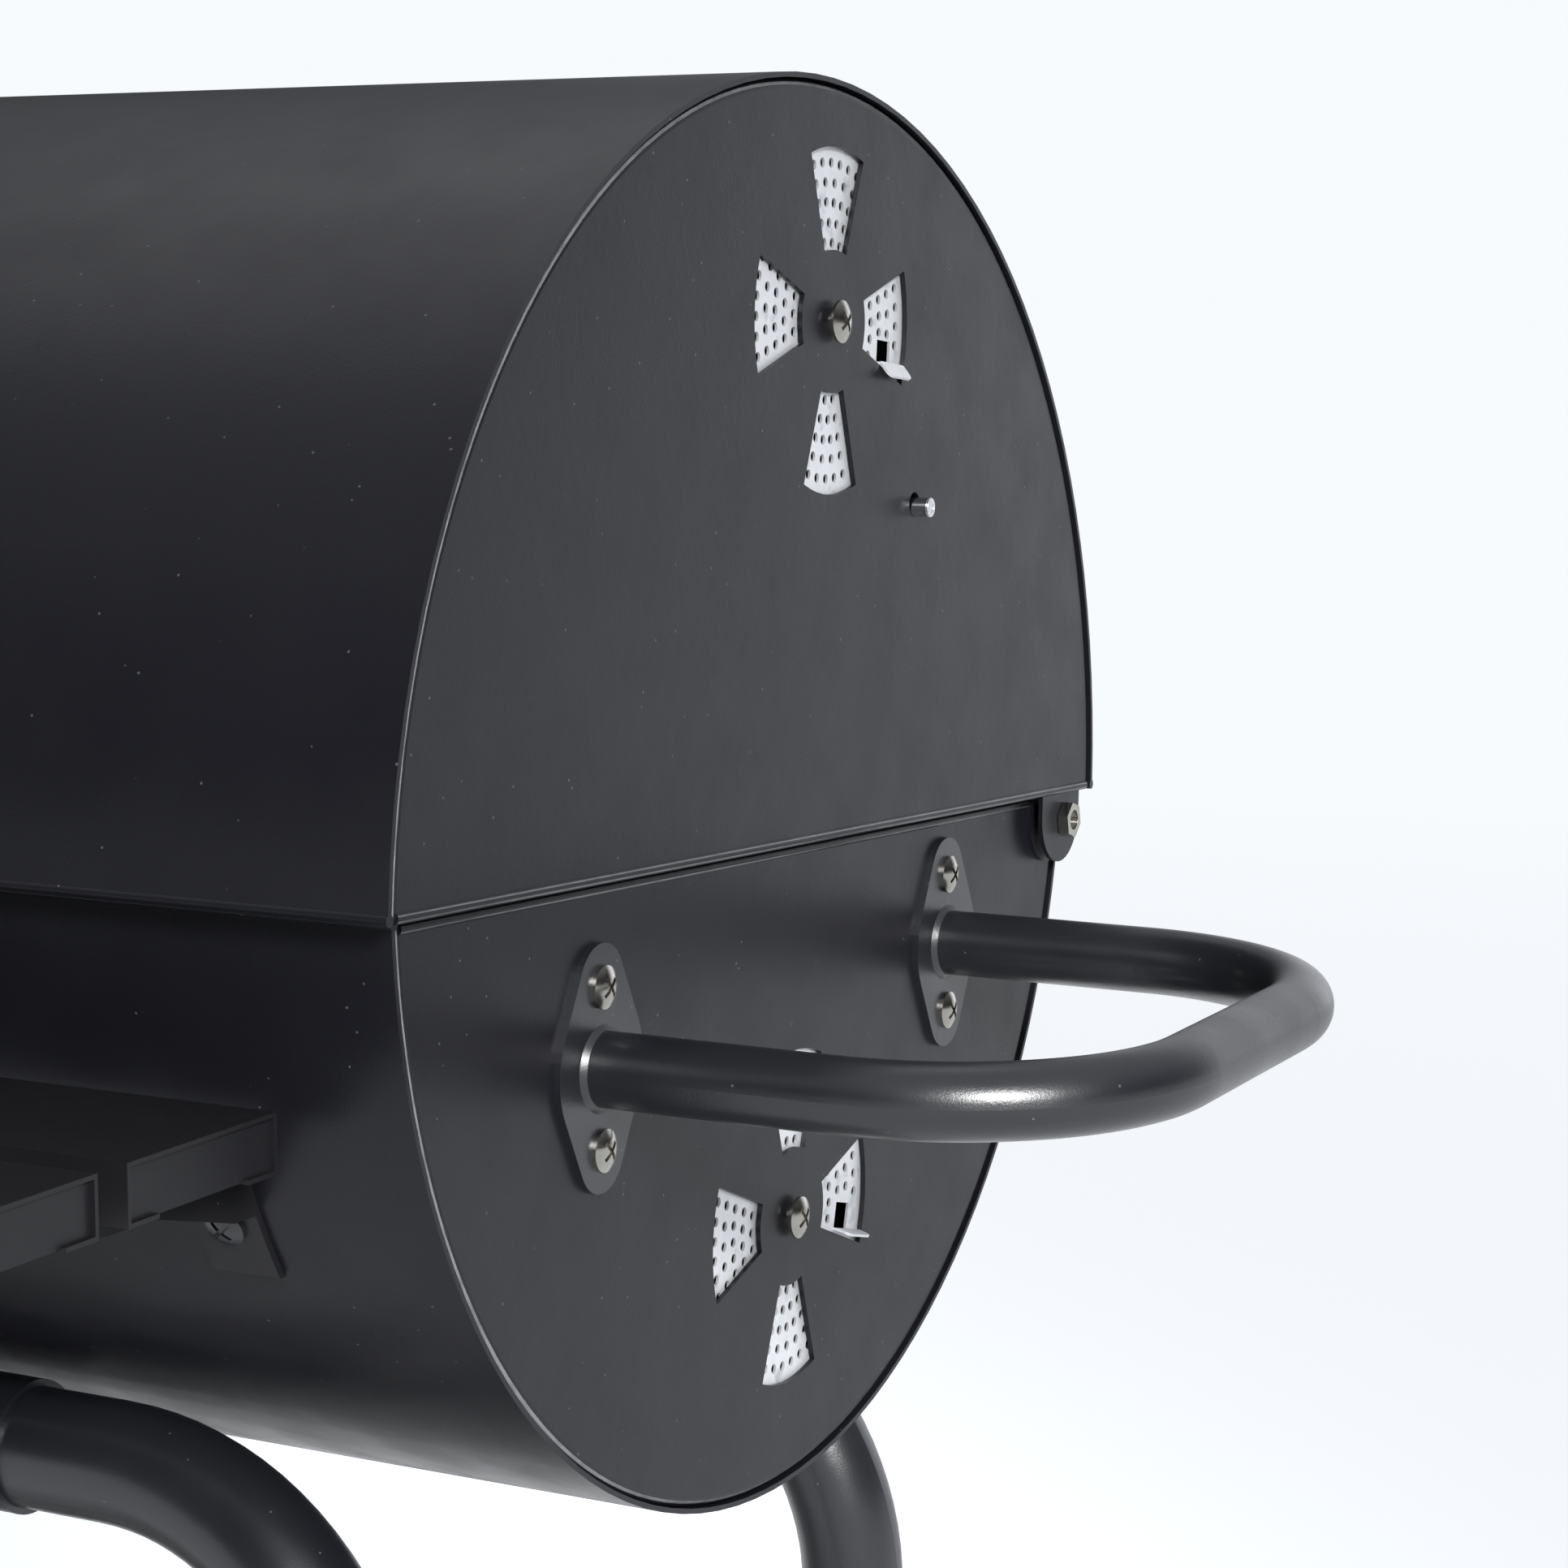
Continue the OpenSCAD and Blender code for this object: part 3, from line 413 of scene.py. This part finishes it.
def make_dial_print():
    """Marks and numbers of the thermometer's scale, from 0 at the lower left clockwise to 400."""
    marks, degrees_per_mark = 40, 10
    start, sweep = math.radians(215), math.radians(250)
    scale_radius, number_radius = 29.5 * MM, 19.5 * MM
    ink = 0.06 * MM
    bm = bmesh.new()
    place = dial_place() @ Matrix.Translation((0, 0, ink))
    for i in range(marks + 1):
        angle = start - sweep * i / marks
        length, width = (5.0 * MM, 0.9 * MM) if i % 5 == 0 else (2.6 * MM, 0.45 * MM)
        spot = Matrix.Translation((scale_radius - length / 2, 0, 0))
        add_block(bm, place @ Matrix.Rotation(angle, 4, "Z") @ spot, (length, width, ink))
        if i % 10 == 0:
            spot = Matrix.Translation((number_radius * math.cos(angle), number_radius * math.sin(angle), 0))
            add_text(bm, str(i * degrees_per_mark), 6.2 * MM, place @ spot)
    add_text(bm, "°C", 6.5 * MM, place @ Matrix.Translation((0, -14 * MM, 0)))
    finish_piece(bm, "dial_print", "black_plastic", "lid")


def add_lathe(bm, profile, place, steps=40):
    """Turned shape from (radius, height) pairs about the z axis of a placing matrix."""
    rings = []
    for i in range(steps):
        turn = 2 * math.pi * i / steps
        rings.append([bm.verts.new(place @ Vector((r * math.cos(turn), r * math.sin(turn), h)))
                      for r, h in profile])
    for i in range(steps):
        this, other = rings[i], rings[(i + 1) % steps]
        for j in range(len(profile) - 1):
            bm.faces.new((this[j], other[j], other[j + 1], this[j + 1]))
    bmesh.ops.remove_doubles(bm, verts=bm.verts, dist=1e-7)


def make_rod_ends():
    """Upset ends of the rack rod, each with a shallow dimple."""
    low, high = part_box("rack_rod")
    middle = (low + high) / 2
    collar = [(3.02, -2.0), (3.05, -0.4), (2.7, 0.15)]
    dimple = [(1.6, 0.18), (1.15, -0.5), (0.0, -0.8)]
    profile = [(r * MM, h * MM) for r, h in collar + dimple]
    bm = bmesh.new()
    for side, x in ((1, high.x), (-1, low.x)):
        place = Matrix.Translation((x, middle.y, middle.z)) @ Matrix.Rotation(side * math.pi / 2, 4, "Y")
        add_lathe(bm, profile, place)
    bmesh.ops.recalc_face_normals(bm, faces=bm.faces)
    finish_piece(bm, "rod_ends", "plated_rod", "warming_rack")


make_rack_wires()
make_tread("tyre_front", "wheel_front")
make_tread("tyre_rear", "wheel_rear")
make_dial_print()
make_rod_ends()


# ---- studio ----

BACKGROUND = (0.93, 0.96, 0.99)
FLOOR_RADIUS = 60.0
FADE_START, FADE_END = 2.5, 9.0


def floor_material():
    """Pale floor that takes soft shadows near the grill and fades into the plain background far from it."""
    s = Shader("studio_floor")
    distance = s.node("ShaderNodeVectorMath", {0: s.where}, operation="LENGTH").outputs["Value"]
    far = s.remap(distance, FADE_START, FADE_END)
    s.set(Base_Color=s.mix(far, rgb(0.8, 0.81, 0.82), rgb(0.0, 0.0, 0.0)), Roughness=0.9)
    s.set(Specular_IOR_Level=0.0, Emission_Strength=1.0)
    s.set(Emission_Color=s.mix(far, rgb(0.52, 0.53, 0.54), rgb(*BACKGROUND)))
    return s.material


def make_floor():
    """A wide round floor at the height of the grill's feet."""
    bpy.ops.mesh.primitive_circle_add(vertices=96, radius=FLOOR_RADIUS, fill_type="NGON")
    floor = bpy.context.object
    floor.name = "studio_floor"
    floor.data.materials.append(floor_material())


def make_world():
    """Pale background; as a light it is bright behind, dimmer to the left and above, and dark in front."""
    world = bpy.data.worlds.new("studio")
    bpy.context.scene.world = world
    world.use_nodes = True
    tree = world.node_tree
    tree.nodes.clear()

    def node(kind, **settings):
        made = tree.nodes.new(kind)
        for key, value in settings.items():
            setattr(made, key, value)
        return made

    link = tree.links.new
    split = node("ShaderNodeSeparateXYZ")
    link(node("ShaderNodeTexCoord").outputs["Generated"], split.inputs[0])

    def ramp(axis, low, high, to_low, to_high):
        made = node("ShaderNodeMapRange", interpolation_type="SMOOTHSTEP")
        link(split.outputs[axis], made.inputs["Value"])
        for key, value in (("From Min", low), ("From Max", high), ("To Min", to_low), ("To Max", to_high)):
            made.inputs[key].default_value = value
        return made.outputs[0]

    def combine(operation, a, b):
        made = node("ShaderNodeMath", operation=operation)
        link(a, made.inputs[0])
        link(b, made.inputs[1])
        return made.outputs[0]

    back = combine("MULTIPLY", ramp("Y", 0.76, 1.0, 0.03, 1.75), ramp("X", -1.0, 0.3, 0.1, 1.0))
    light = node("ShaderNodeBackground")
    light.inputs["Color"].default_value = rgb(0.92, 0.945, 1.0)
    link(combine("ADD", back, ramp("Z", 0.1, 1.0, 0.0, 0.65)), light.inputs["Strength"])
    seen = node("ShaderNodeBackground")
    seen.inputs["Color"].default_value = rgb(*BACKGROUND)
    pick = node("ShaderNodeMixShader")
    link(node("ShaderNodeLightPath").outputs["Is Camera Ray"], pick.inputs["Fac"])
    link(light.outputs[0], pick.inputs[1])
    link(seen.outputs[0], pick.inputs[2])
    link(pick.outputs[0], node("ShaderNodeOutputWorld").inputs["Surface"])


def softbox(name, place, aim, size, watts, spread=180.0):
    """A rectangular lamp; spread is the full angle of its beam in degrees."""
    data = bpy.data.lights.new(name, "AREA")
    data.shape = "RECTANGLE"
    data.size, data.size_y = size
    data.energy = watts
    data.spread = math.radians(spread)
    lamp = bpy.data.objects.new(name, data)
    bpy.context.scene.collection.objects.link(lamp)
    lamp.location = place
    lamp.rotation_euler = (Vector(aim) - Vector(place)).to_track_quat("-Z", "Y").to_euler()


def make_camera():
    """Close view of the handle end, a little above the seam, with a slight roll."""
    yaw, pitch, roll = math.radians(26.81), math.radians(5.37), math.radians(1.28)
    forward = Vector((-math.sin(yaw) * math.cos(pitch), math.cos(yaw) * math.cos(pitch), -math.sin(pitch)))
    level = Vector((math.cos(yaw), math.sin(yaw), 0.0))
    upright = level.cross(forward)
    right = level * math.cos(roll) + upright * math.sin(roll)
    up = upright * math.cos(roll) - level * math.sin(roll)
    camera = bpy.data.objects.new("camera", bpy.data.cameras.new("camera"))
    bpy.context.scene.collection.objects.link(camera)
    camera.matrix_world = Matrix((right, up, -forward)).transposed().to_4x4()
    camera.location = at(810.5, -926.1, 115.2)
    camera.data.sensor_width = 36.0
    camera.data.lens = 80.53
    camera.data.clip_end = 200.0
    bpy.context.scene.camera = camera


make_floor()
make_world()
softbox("top_light", (-0.9, 0.4, 3.2), (-0.3, 0.0, 0.9), (2.4, 1.6), 7.0)
softbox("side_light", at(2217, -1723, 930), at(620, -150, -80), (0.9, 0.9), 6.0, 26.0)
make_camera()
bpy.context.scene.view_settings.view_transform = "Standard"
